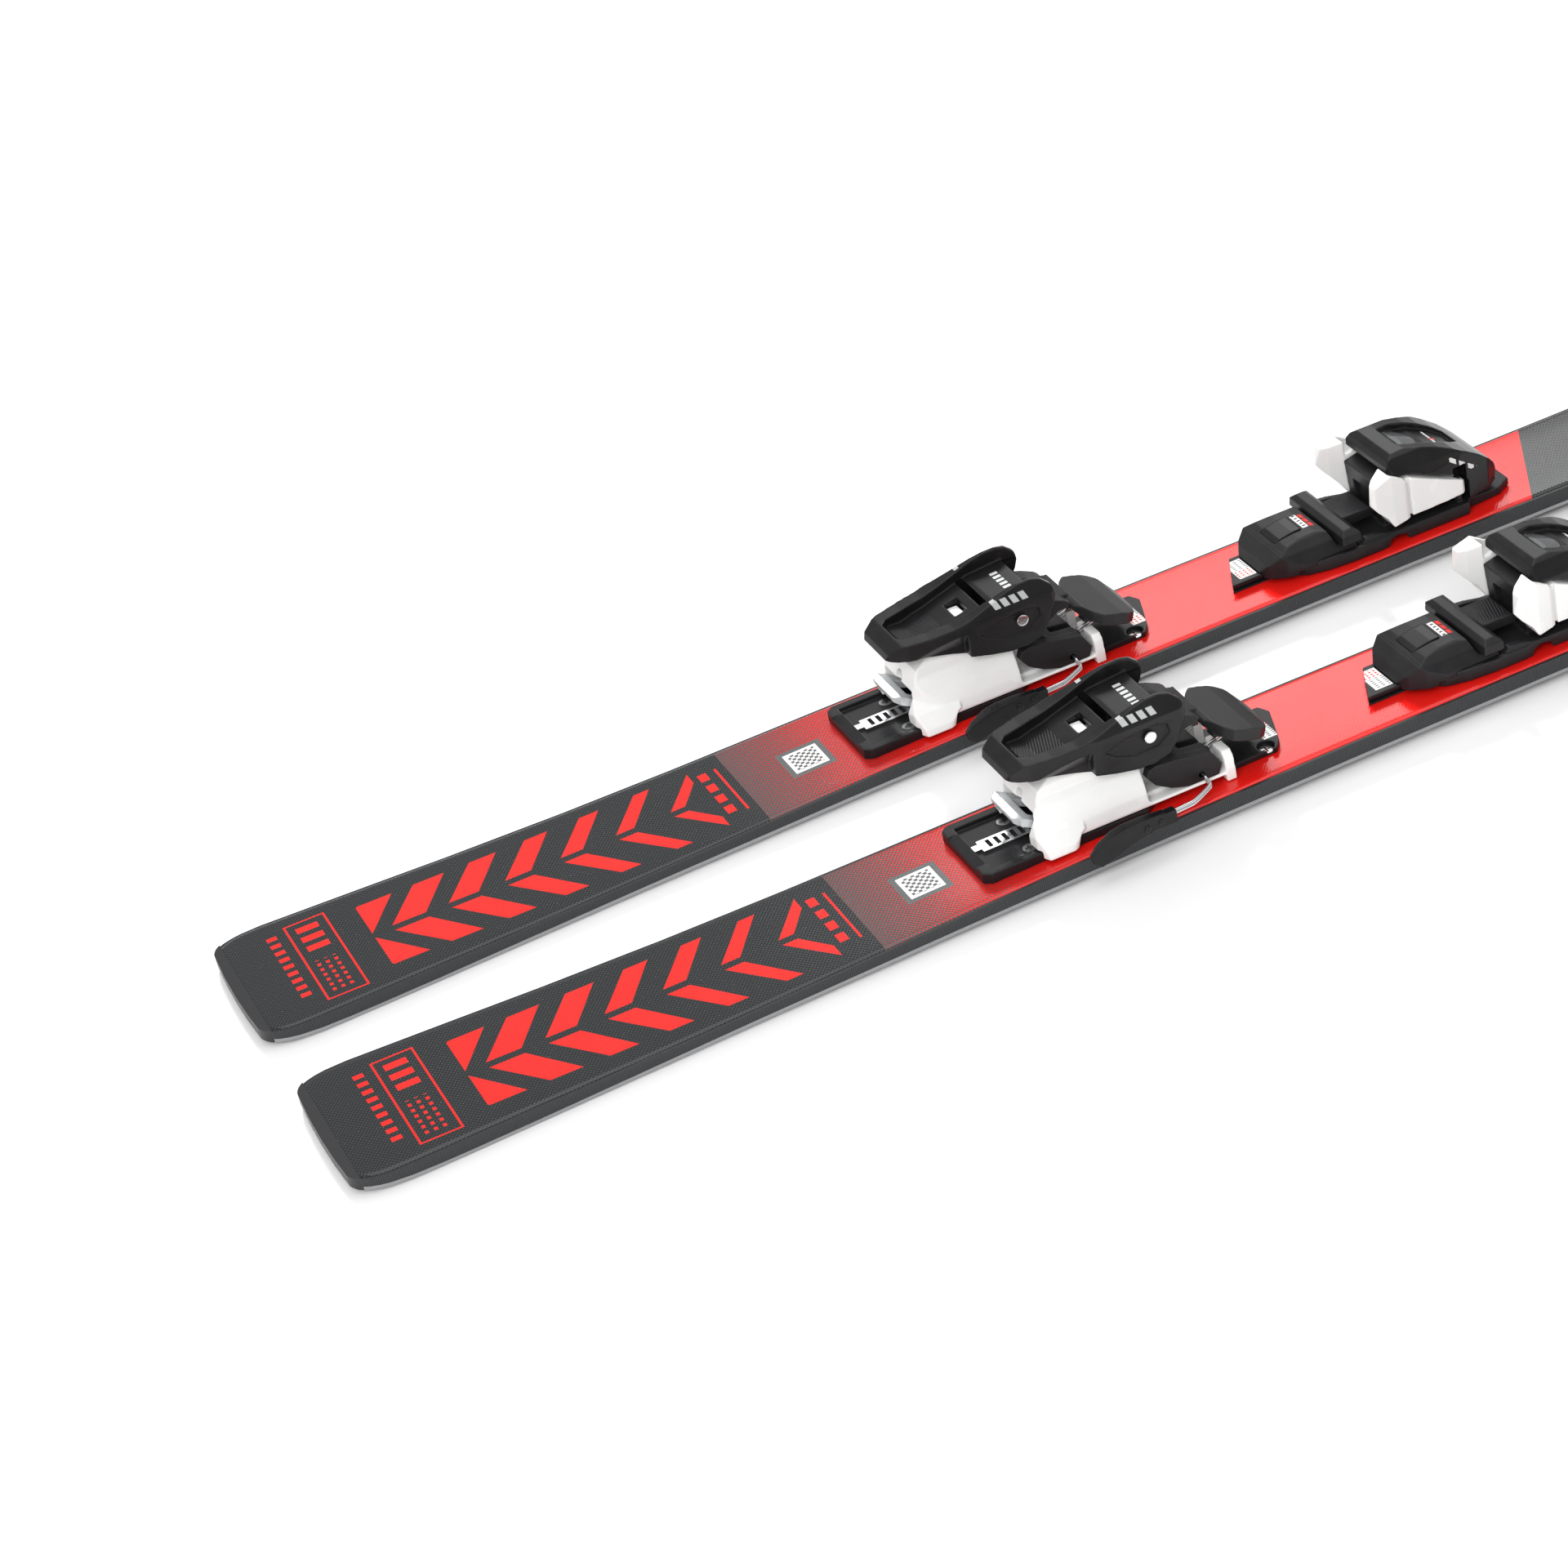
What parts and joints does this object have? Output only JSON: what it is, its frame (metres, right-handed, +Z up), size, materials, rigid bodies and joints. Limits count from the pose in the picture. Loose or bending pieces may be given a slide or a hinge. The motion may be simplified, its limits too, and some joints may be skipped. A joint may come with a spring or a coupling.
{
  "type": "alpine skis with bindings",
  "caption": "Pair of alpine skis with sidecut, turned-up tips and rail bindings: sliding toe and heel units, opening lever, spring-loaded wings, sliding sole plate and ski brake.",
  "frame": {"origin": "on the floor, midway between the two skis and midway along their length", "axes": "+Y towards the tips, +Z up from the floor, +X towards the right-hand ski; the right ski's centre line is at X = 0.07 m and the left ski's at X = -0.07 m"},
  "size_m": [0.258, 1.5, 0.076],
  "materials": {
    "ski_base": "sintered polyethylene, satin",
    "steel_edge": "ground",
    "sidewall": "milled, fine vertical lines",
    "wood_core": "raw",
    "topsheet": "lacquered, woven print",
    "end_guard": "satin",
    "screw_steel": "zinc plated",
    "track_plastic": "fine grain",
    "ladder_chrome": "polished",
    "housing_white": "pearl",
    "clear_latch": "clear moulded plastic",
    "cup_black": "fine grain",
    "lever_black": "fine grain",
    "rivet_steel": "polished",
    "spring_steel": "oiled",
    "wire_chrome": "polished",
    "pad_black": "satin",
    "blade_black": "satin",
    "frame_black": "fine grain",
    "cover_black": "satin",
    "wing_white": "pearl"
  },
  "bodies": {
    "left_ski": {"left_base": "ski_base", "left_edges": "steel_edge", "left_sidewalls": "sidewall", "left_core": "wood_core", "left_topsheet": "topsheet", "left_end_guards": "end_guard", "left_mounting_screws": "screw_steel", "left_heel_track": "track_plastic", "left_heel_ladder": "ladder_chrome", "left_toe_track": "track_plastic"},
    "left_heel_unit": {"left_heel_housing": "housing_white", "left_heel_spring": "spring_steel", "left_brake_base": "cup_black"},
    "left_latch": {"left_heel_latch": "clear_latch"},
    "left_cup": {"left_heel_cup": "cup_black", "left_lever_rivet": "rivet_steel"},
    "left_lever": {"left_heel_lever": "lever_black"},
    "left_heel_dial": {"left_heel_screw": "screw_steel"},
    "left_brake": {"left_brake_arms": "wire_chrome", "left_brake_pad": "pad_black", "left_brake_blades": "blade_black"},
    "left_toe_unit": {"left_toe_frame": "frame_black", "left_toe_cover": "cover_black", "left_toe_spring": "spring_steel", "left_toe_pad": "frame_black"},
    "left_right_claw": {"left_wing_right": "wing_white"},
    "left_left_claw": {"left_wing_left": "wing_white"},
    "left_afd": {"left_afd_bar": "frame_black"},
    "left_tab": {"left_release_tab": "cover_black"},
    "left_toe_dial": {"left_toe_screw": "screw_steel"},
    "right_ski": {"right_base": "ski_base", "right_edges": "steel_edge", "right_sidewalls": "sidewall", "right_core": "wood_core", "right_topsheet": "topsheet", "right_end_guards": "end_guard", "right_mounting_screws": "screw_steel", "right_heel_track": "track_plastic", "right_heel_ladder": "ladder_chrome", "right_toe_track": "track_plastic"},
    "right_heel_unit": {"right_heel_housing": "housing_white", "right_heel_spring": "spring_steel", "right_brake_base": "cup_black"},
    "right_latch": {"right_heel_latch": "clear_latch"},
    "right_cup": {"right_heel_cup": "cup_black", "right_lever_rivet": "rivet_steel"},
    "right_lever": {"right_heel_lever": "lever_black"},
    "right_heel_dial": {"right_heel_screw": "screw_steel"},
    "right_brake": {"right_brake_arms": "wire_chrome", "right_brake_pad": "pad_black", "right_brake_blades": "blade_black"},
    "right_toe_unit": {"right_toe_frame": "frame_black", "right_toe_cover": "cover_black", "right_toe_spring": "spring_steel", "right_toe_pad": "frame_black"},
    "right_right_claw": {"right_wing_right": "wing_white"},
    "right_left_claw": {"right_wing_left": "wing_white"},
    "right_afd": {"right_afd_bar": "frame_black"},
    "right_tab": {"right_release_tab": "cover_black"},
    "right_toe_dial": {"right_toe_screw": "screw_steel"}
  },
  "joints": [
    {"name": "left_heel_slide", "type": "slide", "parent": "left_ski", "child": "left_heel_unit", "axis": [0, 1, 0], "range_m": [-0.024, 0.028]},
    {"name": "left_latch_lift", "type": "hinge", "parent": "left_heel_unit", "child": "left_latch", "pos_m": [-0.07, -0.359, 0.025], "axis": [-1, 0, 0], "range_deg": [0, 9], "stiffness_Nm_per_rad": 0.02},
    {"name": "left_cup_close", "type": "hinge", "parent": "left_heel_unit", "child": "left_cup", "pos_m": [-0.07, -0.304, 0.05], "axis": [-1, 0, 0], "range_deg": [0, 20]},
    {"name": "left_lever_lift", "type": "hinge", "parent": "left_cup", "child": "left_lever", "pos_m": [-0.07, -0.31, 0.057], "axis": [-1, 0, 0], "range_deg": [0, 20]},
    {"name": "left_brake_swing", "type": "hinge", "parent": "left_heel_unit", "child": "left_brake", "pos_m": [-0.07, -0.286, 0.024], "axis": [-1, 0, 0], "range_deg": [-28, 0]},
    {"name": "left_heel_dial_turn", "type": "hinge", "parent": "left_heel_unit", "child": "left_heel_dial", "pos_m": [-0.07, -0.362, 0.037], "axis": [0, 1, 0], "range_deg": [-180, 180]},
    {"name": "left_toe_slide", "type": "slide", "parent": "left_ski", "child": "left_toe_unit", "axis": [0, 1, 0], "range_m": [-0.02, 0.03]},
    {"name": "left_right_claw_open", "type": "hinge", "parent": "left_toe_unit", "child": "left_right_claw", "pos_m": [-0.0485, -0.051, 0.033], "axis": [0, 0, 1], "range_deg": [0, 22], "stiffness_Nm_per_rad": 2},
    {"name": "left_left_claw_open", "type": "hinge", "parent": "left_toe_unit", "child": "left_left_claw", "pos_m": [-0.0915, -0.051, 0.033], "axis": [0, 0, -1], "range_deg": [0, 22], "stiffness_Nm_per_rad": 2},
    {"name": "left_afd_slide", "type": "slide", "parent": "left_toe_unit", "child": "left_afd", "axis": [1, 0, 0], "range_m": [-0.005, 0.005], "stiffness_N_per_m": 300},
    {"name": "left_tab_press", "type": "slide", "parent": "left_toe_unit", "child": "left_tab", "axis": [0, 0, -1], "range_m": [0, 0.0018], "stiffness_N_per_m": 400},
    {"name": "left_toe_dial_turn", "type": "hinge", "parent": "left_toe_unit", "child": "left_toe_dial", "pos_m": [-0.07, -0.038, 0.031], "axis": [0, 1, 0], "range_deg": [-180, 180]},
    {"name": "right_heel_slide", "type": "slide", "parent": "right_ski", "child": "right_heel_unit", "axis": [0, 1, 0], "range_m": [-0.024, 0.028]},
    {"name": "right_latch_lift", "type": "hinge", "parent": "right_heel_unit", "child": "right_latch", "pos_m": [0.07, -0.359, 0.025], "axis": [-1, 0, 0], "range_deg": [0, 9], "stiffness_Nm_per_rad": 0.02},
    {"name": "right_cup_close", "type": "hinge", "parent": "right_heel_unit", "child": "right_cup", "pos_m": [0.07, -0.304, 0.05], "axis": [-1, 0, 0], "range_deg": [0, 20]},
    {"name": "right_lever_lift", "type": "hinge", "parent": "right_cup", "child": "right_lever", "pos_m": [0.07, -0.31, 0.057], "axis": [-1, 0, 0], "range_deg": [0, 20]},
    {"name": "right_brake_swing", "type": "hinge", "parent": "right_heel_unit", "child": "right_brake", "pos_m": [0.07, -0.286, 0.024], "axis": [-1, 0, 0], "range_deg": [-28, 0]},
    {"name": "right_heel_dial_turn", "type": "hinge", "parent": "right_heel_unit", "child": "right_heel_dial", "pos_m": [0.07, -0.362, 0.037], "axis": [0, 1, 0], "range_deg": [-180, 180]},
    {"name": "right_toe_slide", "type": "slide", "parent": "right_ski", "child": "right_toe_unit", "axis": [0, 1, 0], "range_m": [-0.02, 0.03]},
    {"name": "right_right_claw_open", "type": "hinge", "parent": "right_toe_unit", "child": "right_right_claw", "pos_m": [0.0915, -0.051, 0.033], "axis": [0, 0, 1], "range_deg": [0, 22], "stiffness_Nm_per_rad": 2},
    {"name": "right_left_claw_open", "type": "hinge", "parent": "right_toe_unit", "child": "right_left_claw", "pos_m": [0.0485, -0.051, 0.033], "axis": [0, 0, -1], "range_deg": [0, 22], "stiffness_Nm_per_rad": 2},
    {"name": "right_afd_slide", "type": "slide", "parent": "right_toe_unit", "child": "right_afd", "axis": [1, 0, 0], "range_m": [-0.005, 0.005], "stiffness_N_per_m": 300},
    {"name": "right_tab_press", "type": "slide", "parent": "right_toe_unit", "child": "right_tab", "axis": [0, 0, -1], "range_m": [0, 0.0018], "stiffness_N_per_m": 400},
    {"name": "right_toe_dial_turn", "type": "hinge", "parent": "right_toe_unit", "child": "right_toe_dial", "pos_m": [0.07, -0.038, 0.031], "axis": [0, 1, 0], "range_deg": [-180, 180]},
    {"name": "right_ski_glide", "type": "slide", "parent": "left_ski", "child": "right_ski", "axis": [0, 1, 0], "range_m": [-0.25, 0.25]}
  ],
  "couplings": [
    {"joint": "left_lever_lift", "follows": "left_cup_close", "ratio": 1},
    {"joint": "right_lever_lift", "follows": "right_cup_close", "ratio": 1}
  ]
}
